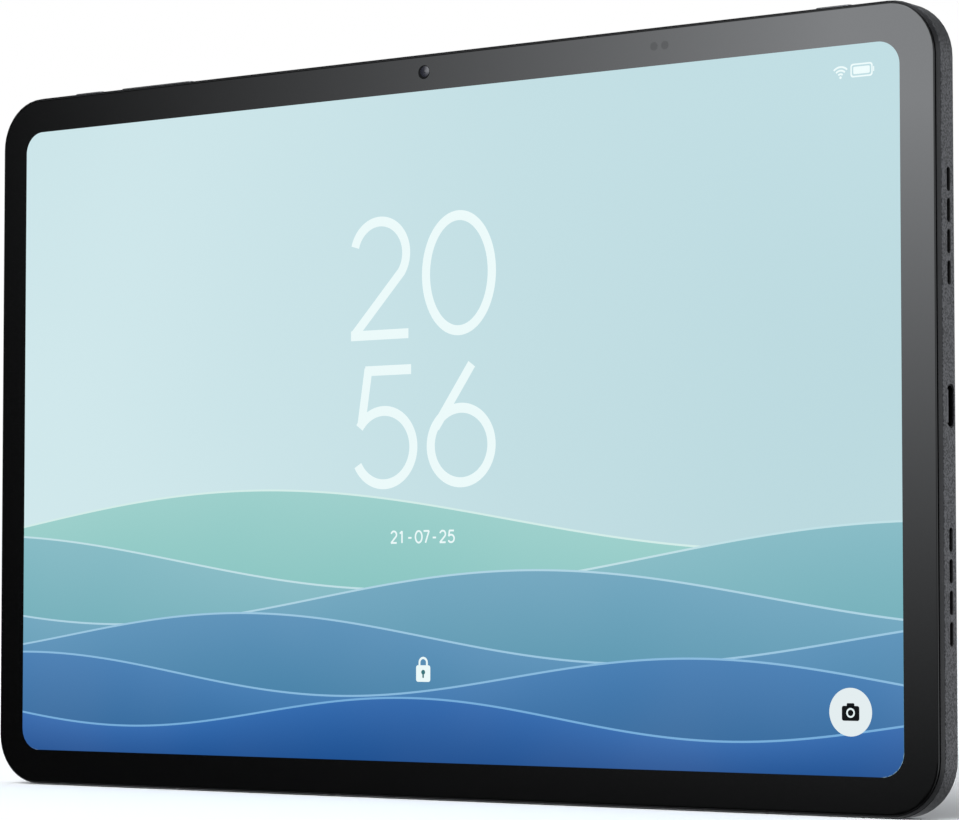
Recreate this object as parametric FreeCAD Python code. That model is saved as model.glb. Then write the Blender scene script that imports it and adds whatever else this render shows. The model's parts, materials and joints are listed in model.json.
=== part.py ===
import FreeCAD, Part
import os

# A tablet computer standing on its long bottom edge, in millimetres.
# X runs to the right along the width, Z runs up, and the screen faces -Y.
# The origin is at the bottom centre of the whole object.
# "Depth" is measured from the front of the glass towards the back.

os.makedirs("parts", exist_ok=True)
Vec = FreeCAD.Vector

# Body
WIDTH = 253.1
HEIGHT = 164.6
BODY_DEPTH = 7.4
CORNER_RADIUS = 11.8
WALL = 1.3
BACK_WALL = 0.7
RIM_DEPTH = 1.85
RIM_BEVEL = 0.12
REAR_FILLET = 0.5
SLOT_BEVEL = 0.12

# Glass and the mid frame around it
GLASS_THICKNESS = 0.75
GLASS_INSET = 0.63
GLASS_EDGE_FILLET = 0.45
GLASS_GAP = 0.25
LIP_DEPTH = 0.5
LIP_ARC = 3.2
SHELF_DEPTH = 0.95
SHELF_INSET = 6.0
OPENING_RADIUS = 2.5
TAPE_MARGIN = 0.3

# Display stack; the picture sits slightly left of the body's middle
SCREEN_WIDTH = 236.9
SCREEN_HEIGHT = 148.06
SCREEN_X = -0.45
PANEL_BORDER = 1.2
PANEL_RADIUS = 2.0
FILM_THICKNESS = 0.15
CELL_THICKNESS = 0.8
BACKLIGHT_THICKNESS = 1.0
TRAY_THICKNESS = 0.2
TRAY_GAP = 0.1

# Chassis plate behind the display
PLATE_DEPTH = 3.05
PLATE_THICKNESS = 0.45
FLANGE_THICKNESS = 0.4
HOLE_SIZE = 12.0
HOLE_PITCH = 20

# Speaker slots and the charging socket on the short sides
SLOT_AXIS_DEPTH = 4.8
SLOT_LENGTH = 4.7
SLOT_WIDTH = 1.3
SLOT_PITCH = 6.27
SLOT_FIRST = 26.7
SLOTS_PER_GROUP = 4
PORT_AXIS_DEPTH = 5.15
PORT_LENGTH = 8.7
PORT_WIDTH = 3.0
SHELL_LENGTH = 8.6
SHELL_WIDTH = 2.86
SHELL_WALL = 0.13
SHELL_DEPTH = 7.2
SHELL_SETBACK = 0.2
SHELL_BACK = 0.6
TONGUE_LENGTH = 6.7
TONGUE_WIDTH = 0.7
TONGUE_SETBACK = 0.55

# Keys on the top edge
KEY_AXIS_DEPTH = 4.8
KEY_WIDTH = 2.0
KEY_PROUD = 0.6
KEY_EDGE = 0.25
KEY_CLEARANCE = 0.12
KEY_TRAVEL = 0.3
KEY_FLANGE = 0.5
KEY_FLANGE_GAP = 0.15
FLANGE_OVERLAP = 0.6
POWER_X = -102.2
POWER_LENGTH = 8.9
VOLUME_X = -81.0
VOLUME_LENGTH = 22.0
SHORTCUT_X = 100.8
SHORTCUT_LENGTH = 8.5
VOLUME_SWITCH_SPREAD = 7.0
VOLUME_PIVOT_HALF = 3.2

# Switches behind the keys
SWITCH_LENGTH = 3.6
SWITCH_WIDTH = 2.6
SWITCH_HEIGHT = 1.2
SWITCH_RECESS = 0.6
NUB_RADIUS = 0.5
NUB_ENTRY = 0.2
BRACKET_THICKNESS = 0.3
BRACKET_FOOT_Z = 156.4
BRACKET_SCREW_Z = 158.1

# Behind the front border and under the top edge
BORDER_INSET = 4.3
FRONT_CAMERA_X = 0.0
FRONT_BARREL = 1.8
SENSOR_X = 61.3
MICROPHONE_XS = (-34.0, 38.0)
MICROPHONE_HOLE = 0.45

# Rear camera and flash
CAMERA_BUMP = 1.2
REAR_LENS_X = 109.0
REAR_LENS_Z = 149.2
FLASH_DROP = 12.6
DECK_WIDTH = 14.0
DECK_STEP = 0.3
RING_RADIUS = 4.85
RING_SEAT = 4.0
RING_BORE = 3.4
REAR_BARREL = 3.2
FLASH_RADIUS = 1.92

# Boards, battery and speakers
BOARD_DEPTH = 5.1
BOARD_THICKNESS = 0.8
SHIELD_HEIGHT = 1.4
SHIELD_WALL = 0.2
CHIP_HEIGHT = 0.8
FLEX = 0.12
BATTERY_WIDTH = 97.0
BATTERY_HEIGHT = 102.0
BATTERY_THICKNESS = 2.8
BATTERY_TAPE = 0.15
BATTERY_GAP = 2.0
BATTERY_BOTTOM = 9.0
SPEAKER_LENGTH = 27.0
SPEAKER_WIDTH = 16.0
SPEAKER_FRONT = 3.6
SPEAKER_BACK = 6.6
MESH_THICKNESS = 0.15

# Places inside, as (x0, x1, z0, z1)
MAIN_BOARD = (-72.0, 98.0, 122.0, 156.0)
MAIN_BOARD_CUTS = ((-3.8, 3.8, 151.5, 158.0), (40.0, 84.0, 120.0, 127.0))
PROCESSOR_SHIELD = (-62.0, -8.0, 129.0, 153.0)
RADIO_SHIELD = (42.0, 84.0, 130.0, 153.0)
PROCESSOR = (-48.0, -34.0, 134.0, 148.0)
MEMORY_CHIPS = ((-30.0, -20.0, 135.0, 147.0), (-18.5, -8.5, 135.0, 147.0))
RADIO_CHIP = (56.0, 66.0, 137.0, 147.0)
HEAT_SHEET = (-64.0, -6.0, 127.0, 155.0)
SOCKET_BOARD = (100.0, 124.6, 66.0, 98.8)
DISPLAY_FLEX_X = (12.0, 30.0)
DISPLAY_FLEX_BOTTOM = 90.0
DISPLAY_FLEX_TOP = 128.0
PLATE_SLOT = (11.0, 31.0, 117.5, 121.0)
PLATE_SLOT_Z = 119.4
SOCKET_FLEX = ((100.0, 106.0, 94.0, 129.0), (90.0, 106.0, 129.0, 134.0))
SPEAKER_FLEX = ((-105.0, -101.0, 40.0, 133.0), (-105.0, -66.0, 133.0, 137.0),
                (-109.1, -105.0, 40.0, 44.0), (-109.1, -105.0, 116.0, 120.0))
BATTERY_BOARD = (-42.0, 42.0, 112.0, 117.0)
BATTERY_FLEX = (-12.0, -4.0, 113.0, 126.0)
ANTENNAS = {"antenna_left": (-122.0, -110.5, 138.0, 152.0), "antenna_right": (112.0, 123.5, 12.0, 28.0)}

# Screws, with the places of the board screws as (x, z)
SCREW_RADIUS = 0.6
SCREW_HEAD_RADIUS = 1.2
SCREW_HEAD_HEIGHT = 0.4
SCREW_CLEARANCE = 0.05
BOSS_RADIUS = 1.7
BOARD_SCREWS = ((-68.0, 152.0), (-68.0, 126.0), (20.0, 153.0), (94.0, 152.0), (88.0, 126.0))
SOCKET_SCREWS = ((113.0, 68.5), (113.0, 96.3))

# Derived positions
HALF_WIDTH = WIDTH / 2
MID_Z = HEIGHT / 2
FRONT_Y = -(BODY_DEPTH + CAMERA_BUMP) / 2
FLOOR_DEPTH = BODY_DEPTH - BACK_WALL
FAR_BACK = BODY_DEPTH + CAMERA_BUMP
BORDER_Z = HEIGHT - BORDER_INSET
CELL_DEPTH = GLASS_THICKNESS + FILM_THICKNESS
BACKLIGHT_DEPTH = CELL_DEPTH + CELL_THICKNESS
TRAY_DEPTH = BACKLIGHT_DEPTH + BACKLIGHT_THICKNESS
PLATE_BACK = PLATE_DEPTH + PLATE_THICKNESS
BOARD_BACK = BOARD_DEPTH + BOARD_THICKNESS
SHIELD_DEPTH = BOARD_DEPTH - SHIELD_HEIGHT
INNER_X = HALF_WIDTH - WALL
WALL_TOP_Z = HEIGHT - WALL
FLANGE_BOTTOM_Z = WALL_TOP_Z - KEY_FLANGE_GAP - KEY_FLANGE
SWITCH_TOP_Z = FLANGE_BOTTOM_Z - KEY_TRAVEL - 0.1
FLEX_TOP_Z = SWITCH_TOP_Z - SWITCH_HEIGHT
BRACKET_TOP_Z = FLEX_TOP_Z - FLEX
LEFT_BRACKET = (POWER_X - 7.0, VOLUME_X + 14.0)
RIGHT_BRACKET = (SHORTCUT_X - 7.5, SHORTCUT_X + 7.5)
LEFT_BRACKET_SCREWS = (POWER_X - 5.0, POWER_X + 8.0, VOLUME_X + 12.0)
RIGHT_BRACKET_SCREWS = (SHORTCUT_X - 5.8, SHORTCUT_X + 5.8)

RIGHT = Vec(1, 0, 0)
BACK = Vec(0, 1, 0)
UP = Vec(0, 0, 1)


def depth_y(depth):
    return FRONT_Y + depth


def rounded_face(width, height, radius):
    """Face in the XY plane, centred on the origin, with rounded corners."""
    a = width / 2
    b = height / 2
    if radius <= 0:
        corners = [Vec(-a, -b, 0), Vec(a, -b, 0), Vec(a, b, 0), Vec(-a, b, 0), Vec(-a, -b, 0)]
        return Part.Face(Part.makePolygon(corners))
    radius = min(radius, a, b)
    arcs = []
    for sign_x, sign_y, start in ((1, 1, 0), (-1, 1, 90), (-1, -1, 180), (1, -1, 270)):
        centre = Vec(sign_x * (a - radius), sign_y * (b - radius), 0)
        arcs.append(Part.makeCircle(radius, centre, UP, start, start + 90))
    edges = []
    for index, arc in enumerate(arcs):
        edges.append(arc)
        start = arc.lastVertex().Point
        end = arcs[(index + 1) % 4].firstVertex().Point
        if start.distanceToPoint(end) > 1e-6:
            edges.append(Part.makeLine(start, end))
    return Part.Face(Part.Wire(edges))


def prism(width, height, radius, length, base, across, along):
    """Rounded rectangle with its width along `across`, its height along `along`, extruded square to both."""
    solid = rounded_face(width, height, radius).extrude(Vec(0, 0, length))
    turn = FreeCAD.Rotation(across, along, across.cross(along), "ZXY")
    solid.Placement = FreeCAD.Placement(base, turn)
    return solid


def panel(place, front, back, radius=0.0):
    """Plate parallel to the screen between two depths, at (x0, x1, z0, z1)."""
    x0, x1, z0, z1 = place
    base = Vec((x0 + x1) / 2, depth_y(back), (z0 + z1) / 2)
    return prism(x1 - x0, z1 - z0, radius, back - front, base, RIGHT, UP)


def around(x, z, half_x, half_z):
    """Place centred on a point."""
    return (x - half_x, x + half_x, z - half_z, z + half_z)


def inset_panel(inset, front, back):
    """Plate with the body's outline moved inwards by `inset`."""
    place = around(0, MID_Z, HALF_WIDTH - inset, HEIGHT / 2 - inset)
    return panel(place, front, back, CORNER_RADIUS - inset)


def display_opening(grow, front, back):
    """Opening that the display sits in, `grow` larger on every side."""
    inset = SHELF_INSET - grow
    return panel(around(0, MID_Z, HALF_WIDTH - inset, HEIGHT / 2 - inset), front, back, OPENING_RADIUS)


def display_panel(grow, front, back):
    """Plate with the display's outline, `grow` larger on every side."""
    half_width = SCREEN_WIDTH / 2 + PANEL_BORDER + grow
    half_height = SCREEN_HEIGHT / 2 + PANEL_BORDER + grow
    return panel(around(SCREEN_X, MID_Z, half_width, half_height), front, back, PANEL_RADIUS + grow)


def disc(x, z, radius, front, back):
    """Round plug square to the screen between two depths."""
    return Part.makeCylinder(radius, back - front, Vec(x, depth_y(front), z), BACK)


def side_pill(side, z, length, width, x_from, x_to, axis_depth):
    """Rounded slot shape through a short side, where `side` is 1 for right and -1 for left."""
    base = Vec(min(side * x_from, side * x_to), depth_y(axis_depth), z)
    return prism(width, length, width / 2, abs(x_to - x_from), base, BACK, UP)


def top_pill(x, length, width, z_from, z_to):
    """Rounded slot shape through the top side."""
    base = Vec(x, depth_y(KEY_AXIS_DEPTH), z_from)
    return prism(length, width, width / 2, z_to - z_from, base, RIGHT, BACK)


def top_box(x, half_length, width, z_from, z_to):
    """Block under the top side, centred on the keys' axis."""
    corner = Vec(x - half_length, depth_y(KEY_AXIS_DEPTH) - width / 2, z_from)
    return Part.makeBox(2 * half_length, width, z_to - z_from, corner)


def top_plug(x, radius, z_from, z_to):
    """Round upright plug on the keys' axis."""
    return Part.makeCylinder(radius, z_to - z_from, Vec(x, depth_y(KEY_AXIS_DEPTH), z_from), UP)


def edges_at_depth(solid, depth):
    """Edges that lie wholly in one plane parallel to the screen."""
    y = depth_y(depth)
    return [e for e in solid.Edges if all(abs(v.Point.y - y) < 1e-6 for v in e.Vertexes)]


def edges_at_height(solid, z):
    """Edges that lie wholly in one level plane."""
    return [e for e in solid.Edges if all(abs(v.Point.z - z) < 1e-6 for v in e.Vertexes)]


def side_opening_edges(solid):
    """Outer edges of the slots and the socket opening in the short sides."""
    near = depth_y(SLOT_AXIS_DEPTH - SLOT_WIDTH)
    far = depth_y(PORT_AXIS_DEPTH + PORT_WIDTH / 2 + 0.05)
    found = []
    for edge in solid.Edges:
        on_side = all(abs(abs(v.Point.x) - HALF_WIDTH) < 1e-6 for v in edge.Vertexes)
        middle = edge.CenterOfMass
        if on_side and near < middle.y < far and abs(middle.z - MID_Z) < HEIGHT / 2 - CORNER_RADIUS - 1:
            found.append(edge)
    return found


def save(name, *solids):
    shape = solids[0] if len(solids) == 1 else Part.makeCompound(list(solids))
    for solid in shape.Solids:
        if not solid.isValid() or solid.Volume <= 0:
            raise ValueError("bad solid in " + name)
    shape.exportStep("parts/" + name + ".step")
    print(name, len(shape.Solids), round(shape.Volume, 1))


def slot_heights():
    """Middle height of every speaker slot on one short side."""
    steps = [SLOT_FIRST + SLOT_PITCH * i for i in range(SLOTS_PER_GROUP)]
    return [MID_Z + s for s in steps] + [MID_Z - s for s in steps]


def speaker_heights():
    """Middle height of each speaker on one short side."""
    middle = SLOT_FIRST + SLOT_PITCH * (SLOTS_PER_GROUP - 1) / 2
    return {"upper": MID_Z + middle, "lower": MID_Z - middle}


def screw_hole(x, z, front, back):
    return disc(x, z, SCREW_RADIUS + SCREW_CLEARANCE, front, back)


def bracket_screws():
    return [(x, BRACKET_SCREW_Z) for x in LEFT_BRACKET_SCREWS + RIGHT_BRACKET_SCREWS]


def rear_cover():
    """Deep tray: flat side walls, thin back, openings for sound, socket, keys and camera."""
    body = inset_panel(0, RIM_DEPTH, BODY_DEPTH)
    body = body.makeFillet(REAR_FILLET, edges_at_depth(body, BODY_DEPTH))
    body = body.makeChamfer(RIM_BEVEL, edges_at_depth(body, RIM_DEPTH))
    body = body.cut(inset_panel(WALL, RIM_DEPTH - 1, FLOOR_DEPTH))
    board_screws = BOARD_SCREWS + SOCKET_SCREWS
    body = body.fuse([disc(x, z, BOSS_RADIUS, BOARD_BACK, FLOOR_DEPTH + 0.1) for x, z in board_screws])
    cuts = [screw_hole(x, z, BOARD_BACK - 0.1, FLOOR_DEPTH + 0.3) for x, z in board_screws]
    cuts += [screw_hole(x, z, FLOOR_DEPTH - 0.1, FLOOR_DEPTH + 0.35) for x, z in bracket_screws()]
    inside = INNER_X - 0.1
    outside = HALF_WIDTH + 1
    for side in (-1, 1):
        cuts += [side_pill(side, z, SLOT_LENGTH, SLOT_WIDTH, inside, outside, SLOT_AXIS_DEPTH)
                 for z in slot_heights()]
    cuts.append(side_pill(1, MID_Z, PORT_LENGTH, PORT_WIDTH, inside, outside, PORT_AXIS_DEPTH))
    for x, length in ((POWER_X, POWER_LENGTH), (VOLUME_X, VOLUME_LENGTH), (SHORTCUT_X, SHORTCUT_LENGTH)):
        gap = 2 * KEY_CLEARANCE
        cuts.append(top_pill(x, length + gap, KEY_WIDTH + gap, WALL_TOP_Z - 0.1, HEIGHT + 1))
    cuts += [top_plug(x, MICROPHONE_HOLE, WALL_TOP_Z - 0.1, HEIGHT + 1) for x in MICROPHONE_XS]
    cuts.append(disc(REAR_LENS_X, REAR_LENS_Z, RING_SEAT, FLOOR_DEPTH - 0.1, FAR_BACK))
    cuts.append(disc(REAR_LENS_X, REAR_LENS_Z - FLASH_DROP, FLASH_RADIUS + 0.08, FLOOR_DEPTH - 0.1, FAR_BACK))
    body = body.cut(cuts).removeSplitter()
    save("rear_cover", body.makeChamfer(SLOT_BEVEL, side_opening_edges(body)))


def mid_frame():
    """Ring with a rolled outer face, a pocket for the glass and a shelf under its border."""
    start = RIM_DEPTH - LIP_ARC
    ring = inset_panel(RIM_BEVEL, start, RIM_DEPTH + 0.5)
    ring = ring.makeFillet(LIP_ARC, edges_at_depth(ring, start))
    ring = ring.common(inset_panel(-1, LIP_DEPTH, RIM_DEPTH))
    ring = ring.cut(inset_panel(GLASS_INSET - GLASS_GAP, 0, SHELF_DEPTH))
    ring = ring.cut(display_opening(0, 0, RIM_DEPTH + 1))
    ring = ring.cut(disc(FRONT_CAMERA_X, BORDER_Z, FRONT_BARREL + 0.15, 0, RIM_DEPTH + 1))
    ring = ring.cut(panel(around(SENSOR_X, BORDER_Z, 3.0, 1.3), 0, RIM_DEPTH + 1))
    save("mid_frame", ring.removeSplitter())


def glass_and_display():
    """Cover glass, touch film, display cell, backlight, the backlight's tray and the tape ring."""
    glass = inset_panel(GLASS_INSET, 0, GLASS_THICKNESS)
    save("front_glass", glass.makeFillet(GLASS_EDGE_FILLET, edges_at_depth(glass, 0)))
    save("touch_film", display_panel(0, GLASS_THICKNESS, CELL_DEPTH))
    save("display_cell", display_panel(0, CELL_DEPTH, BACKLIGHT_DEPTH))
    save("backlight", display_panel(0, BACKLIGHT_DEPTH, TRAY_DEPTH))
    tray = display_panel(TRAY_GAP + TRAY_THICKNESS, BACKLIGHT_DEPTH, TRAY_DEPTH + TRAY_THICKNESS)
    save("backlight_tray", tray.cut(display_panel(TRAY_GAP, BACKLIGHT_DEPTH - 1, TRAY_DEPTH)))

    tape = inset_panel(GLASS_INSET + TAPE_MARGIN, GLASS_THICKNESS, SHELF_DEPTH)
    tape = tape.cut(display_opening(TAPE_MARGIN, 0, SHELF_DEPTH + 1))
    tape = tape.cut(disc(FRONT_CAMERA_X, BORDER_Z, FRONT_BARREL + TAPE_MARGIN, 0, SHELF_DEPTH + 1))
    tape = tape.cut(panel(around(SENSOR_X, BORDER_Z, 3.1, 1.4), 0, SHELF_DEPTH + 1))
    save("glass_tape", tape.removeSplitter())


def chassis_plate():
    """Pressed plate: a flange under the mid frame's shelf, a step, and a flat floor behind the display."""
    flange = inset_panel(WALL + 0.2, RIM_DEPTH, RIM_DEPTH + FLANGE_THICKNESS)
    flange = flange.cut(display_opening(0, 0, PLATE_BACK))
    floor = display_opening(0.6, RIM_DEPTH, PLATE_BACK).cut(display_opening(0, 0, PLATE_DEPTH))
    camera_cut = (FRONT_CAMERA_X - 3.3, FRONT_CAMERA_X + 3.3, BORDER_Z - 3.3, HEIGHT)
    sensor_cut = (SENSOR_X - 3.0, SENSOR_X + 3.0, BORDER_Z - 1.3, HEIGHT)
    cuts = [panel(camera_cut, 1, PLATE_BACK + 1), panel(sensor_cut, 1, PLATE_DEPTH - 0.1)]
    cuts.append(panel(PLATE_SLOT, 2, PLATE_BACK + 1, 0.8))
    for z in (20.0, 98.0):
        cuts += [panel((x, x + HOLE_SIZE, z, z + HOLE_SIZE), PLATE_DEPTH - 0.1, PLATE_BACK + 1, 2.0)
                 for x in range(-110, 100, HOLE_PITCH)]
    save("chassis_plate", flange.fuse(floor).cut(cuts).removeSplitter())


def key(x, length, nub_offsets, flange_half):
    """Pill-shaped cap with a retaining flange inside the wall and nubs that press the switches."""
    top = HEIGHT + KEY_PROUD
    cap = top_pill(x, length, KEY_WIDTH, FLANGE_BOTTOM_Z, top)
    cap = cap.makeFillet(KEY_EDGE, edges_at_height(cap, top))
    flange_width = KEY_WIDTH + 2 * FLANGE_OVERLAP
    flange = top_box(x, flange_half, flange_width, FLANGE_BOTTOM_Z, FLANGE_BOTTOM_Z + KEY_FLANGE)
    nubs = [top_plug(x + offset, NUB_RADIUS, SWITCH_TOP_Z - NUB_ENTRY, FLANGE_BOTTOM_Z + 0.1)
            for offset in nub_offsets]
    return cap.fuse([flange] + nubs).removeSplitter()


def switch(x):
    """Side-press switch with a recess that the key's nub enters."""
    housing = top_box(x, SWITCH_LENGTH / 2, SWITCH_WIDTH, FLEX_TOP_Z, SWITCH_TOP_Z)
    return housing.cut(top_plug(x, NUB_RADIUS + 0.2, SWITCH_TOP_Z - SWITCH_RECESS, SWITCH_TOP_Z + 1))


def key_bracket(span, screw_xs):
    """Steel angle behind the switches: a shelf under the flex and a foot screwed to the back."""
    middle = (span[0] + span[1]) / 2
    half = (span[1] - span[0]) / 2
    shelf = top_box(middle, half, SWITCH_WIDTH + 0.4, BRACKET_TOP_Z - BRACKET_THICKNESS, BRACKET_TOP_Z)
    foot_place = (span[0], span[1], BRACKET_FOOT_Z, BRACKET_TOP_Z)
    foot = panel(foot_place, FLOOR_DEPTH - BRACKET_THICKNESS, FLOOR_DEPTH)
    web_place = (span[0], span[1], BRACKET_TOP_Z - BRACKET_THICKNESS, BRACKET_TOP_Z)
    web = panel(web_place, KEY_AXIS_DEPTH, FLOOR_DEPTH)
    holes = [screw_hole(x, BRACKET_SCREW_Z, KEY_AXIS_DEPTH, BODY_DEPTH) for x in screw_xs]
    return shelf.fuse([foot, web]).cut(holes).removeSplitter()


def key_strip(x0, x1):
    """Flex that lies on a bracket's shelf."""
    return top_box((x0 + x1) / 2, (x1 - x0) / 2, SWITCH_WIDTH, BRACKET_TOP_Z, FLEX_TOP_Z)


def keys():
    """The three keys on the top edge and what is behind them."""
    spread = VOLUME_SWITCH_SPREAD
    save("power_button", key(POWER_X, POWER_LENGTH, (0.0,), POWER_LENGTH / 2 + FLANGE_OVERLAP))
    save("volume_rocker", key(VOLUME_X, VOLUME_LENGTH, (-spread, spread), VOLUME_PIVOT_HALF))
    save("shortcut_key", key(SHORTCUT_X, SHORTCUT_LENGTH, (0.0,), SHORTCUT_LENGTH / 2 + FLANGE_OVERLAP))
    save("power_switch", switch(POWER_X))
    save("volume_switches", switch(VOLUME_X - spread), switch(VOLUME_X + spread))
    save("shortcut_switch", switch(SHORTCUT_X))
    save("left_key_bracket", key_bracket(LEFT_BRACKET, LEFT_BRACKET_SCREWS))
    save("right_key_bracket", key_bracket(RIGHT_BRACKET, RIGHT_BRACKET_SCREWS))
    left_strip = key_strip(LEFT_BRACKET[0] + 2, LEFT_BRACKET[1] - 2)
    right_strip = key_strip(RIGHT_BRACKET[0] + 2, RIGHT_BRACKET[1] - 2)
    save("key_flexes", left_strip, right_strip)


def charging_socket():
    """Shell, centre tongue and the small board that the socket sits in."""
    outer_x = HALF_WIDTH - SHELL_SETBACK
    inner_x = outer_x - SHELL_DEPTH
    shell = side_pill(1, MID_Z, SHELL_LENGTH, SHELL_WIDTH, inner_x, outer_x, PORT_AXIS_DEPTH)
    bore_length = SHELL_LENGTH - 2 * SHELL_WALL
    bore_width = SHELL_WIDTH - 2 * SHELL_WALL
    bore = side_pill(1, MID_Z, bore_length, bore_width, inner_x + SHELL_BACK, outer_x + 1, PORT_AXIS_DEPTH)
    save("usb_c_shell", shell.cut(bore))
    tongue_base = Vec(inner_x + SHELL_BACK, depth_y(PORT_AXIS_DEPTH), MID_Z)
    tongue_reach = SHELL_DEPTH - SHELL_BACK - TONGUE_SETBACK
    save("usb_c_tongue", prism(TONGUE_WIDTH, TONGUE_LENGTH, 0.25, tongue_reach, tongue_base, BACK, UP))

    half_notch = SHELL_LENGTH / 2 + 0.2
    notch = (inner_x - 0.2, HALF_WIDTH, MID_Z - half_notch, MID_Z + half_notch)
    board = panel(SOCKET_BOARD, BOARD_DEPTH, BOARD_BACK, 1.0)
    holes = [screw_hole(x, z, BOARD_DEPTH - 1, BOARD_BACK + 1) for x, z in SOCKET_SCREWS]
    save("socket_board", board.cut([panel(notch, BOARD_DEPTH - 1, BOARD_BACK + 1)] + holes))


def shield_can(place):
    """Open-backed steel can that covers chips on the board's front."""
    x0, x1, z0, z1 = place
    inner = (x0 + SHIELD_WALL, x1 - SHIELD_WALL, z0 + SHIELD_WALL, z1 - SHIELD_WALL)
    can = panel(place, SHIELD_DEPTH, BOARD_DEPTH, 0.8)
    return can.cut(panel(inner, SHIELD_DEPTH + SHIELD_WALL, BOARD_DEPTH + 1, 0.6))


def chip(place):
    return panel(place, BOARD_DEPTH - CHIP_HEIGHT, BOARD_DEPTH)


def main_board():
    """Board along the top, its chips, shield cans and heat sheet."""
    cuts = [panel(place, BOARD_DEPTH - 1, BOARD_BACK + 1, 0.8) for place in MAIN_BOARD_CUTS]
    cuts += [screw_hole(x, z, BOARD_DEPTH - 1, BOARD_BACK + 1) for x, z in BOARD_SCREWS]
    save("main_board", panel(MAIN_BOARD, BOARD_DEPTH, BOARD_BACK, 1.5).cut(cuts))
    save("processor_shield", shield_can(PROCESSOR_SHIELD))
    save("radio_shield", shield_can(RADIO_SHIELD))
    save("processor", chip(PROCESSOR))
    save("memory_chips", *[chip(place) for place in MEMORY_CHIPS])
    save("radio_chip", chip(RADIO_CHIP))
    save("heat_sheet", panel(HEAT_SHEET, SHIELD_DEPTH - 0.1, SHIELD_DEPTH))


def battery():
    """Two flat cells taped to the back, with their protection board and flex."""
    tape_front = FLOOR_DEPTH - BATTERY_TAPE
    cell_front = tape_front - BATTERY_THICKNESS
    top = BATTERY_BOTTOM + BATTERY_HEIGHT
    lefts = {"battery_cell_left": -BATTERY_WIDTH - BATTERY_GAP / 2, "battery_cell_right": BATTERY_GAP / 2}
    strips = []
    for name, x0 in lefts.items():
        save(name, panel((x0, x0 + BATTERY_WIDTH, BATTERY_BOTTOM, top), cell_front, tape_front, 1.5))
        for start in (8.0, 38.0, 68.0):
            strip = (x0 + start, x0 + start + 18.0, BATTERY_BOTTOM + 6, top - 6)
            strips.append(panel(strip, tape_front, FLOOR_DEPTH))
    save("battery_tape", *strips)
    save("battery_board", panel(BATTERY_BOARD, BOARD_DEPTH, BOARD_BACK))
    save("battery_flex", panel(BATTERY_FLEX, BOARD_DEPTH - FLEX, BOARD_DEPTH))


def speakers():
    """Four boxes with a sound channel that opens behind the slots, and the dust meshes."""
    group_length = SLOT_PITCH * (SLOTS_PER_GROUP - 1) + SLOT_LENGTH
    face_x = INNER_X - MESH_THICKNESS
    meshes = []
    for side_name, side in (("left", -1), ("right", 1)):
        for level, z in speaker_heights().items():
            x0 = min(side * face_x, side * (face_x - SPEAKER_WIDTH))
            place = (x0, x0 + SPEAKER_WIDTH, z - SPEAKER_LENGTH / 2, z + SPEAKER_LENGTH / 2)
            box = panel(place, SPEAKER_FRONT, SPEAKER_BACK, 1.0)
            channel = side_pill(side, z, group_length, SLOT_WIDTH + 0.3, face_x - 4, face_x + 1,
                                SLOT_AXIS_DEPTH)
            save("speaker_" + level + "_" + side_name, box.cut(channel))
            meshes.append(side_pill(side, z, group_length + 0.8, SLOT_WIDTH + 0.9, face_x, INNER_X,
                                    SLOT_AXIS_DEPTH))
    save("speaker_meshes", *meshes)


def front_modules():
    """Camera and light sensor behind the top border, and the microphones under the top edge."""
    x = FRONT_CAMERA_X
    lens_front = GLASS_THICKNESS + 0.45
    lens_back = GLASS_THICKNESS + 0.85
    housing = panel((x - 3.1, x + 3.1, BORDER_Z - 3.1, BORDER_Z + 2.9), PLATE_DEPTH - 0.1, 5.4, 0.4)
    barrel = disc(x, BORDER_Z, FRONT_BARREL, GLASS_THICKNESS + 0.25, PLATE_DEPTH)
    pocket = disc(x, BORDER_Z, FRONT_BARREL - 0.5, GLASS_THICKNESS, lens_back)
    save("front_camera", housing.fuse(barrel).cut(pocket).removeSplitter())
    save("front_camera_lens", disc(x, BORDER_Z, FRONT_BARREL - 0.52, lens_front, lens_back))
    save("light_sensor", panel(around(SENSOR_X, BORDER_Z, 2.7, 1.0), SHELF_DEPTH, 2.7, 0.2))
    microphones = [top_box(x, 1.75, SWITCH_WIDTH, WALL_TOP_Z - 1.0, WALL_TOP_Z) for x in MICROPHONE_XS]
    ports = [top_plug(x, 0.4, WALL_TOP_Z - 0.5, WALL_TOP_Z) for x in MICROPHONE_XS]
    save("microphones", *[body.cut(port) for body, port in zip(microphones, ports)])


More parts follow.
